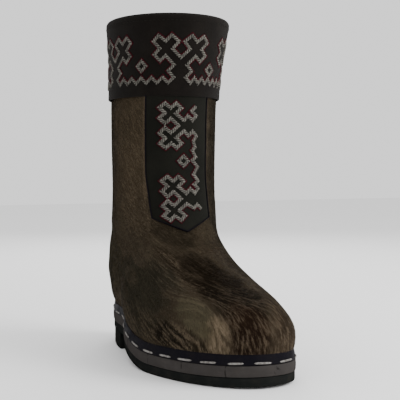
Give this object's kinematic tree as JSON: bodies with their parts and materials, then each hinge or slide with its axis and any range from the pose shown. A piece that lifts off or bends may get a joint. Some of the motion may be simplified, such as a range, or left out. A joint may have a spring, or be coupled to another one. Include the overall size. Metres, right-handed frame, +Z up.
{
  "type": "fur boot",
  "caption": "Right short-fur boot with a hollow hide upper, turned felt cuff, pointed front panel, stitched welt, layered sole and block heel.",
  "frame": {"origin": "on the floor, under the middle of the whole boot's box", "axes": "+Z up the shaft, -Y towards the toe, -X towards the outer side of this right boot"},
  "size_m": [0.1406, 0.3132, 0.3785],
  "materials": {
    "outsole_rubber": "matt black moulded rubber",
    "midsole_rubber": "worn grey rubber with upright nicks",
    "welt_leather": "very dark blue-black leather, soft sheen",
    "fur_hide": "short mottled brown hair, soft sheen along the hair",
    "insole_felt": "dull pressed felt",
    "black_felt": "dull black wool felt"
  },
  "bodies": {
    "root": {"outsole": "outsole_rubber", "heel": "outsole_rubber", "midsole": "midsole_rubber", "welt": "welt_leather", "upper": "fur_hide", "insole": "insole_felt", "front_panel": "black_felt", "cuff": "black_felt"}
  },
  "joints": []
}
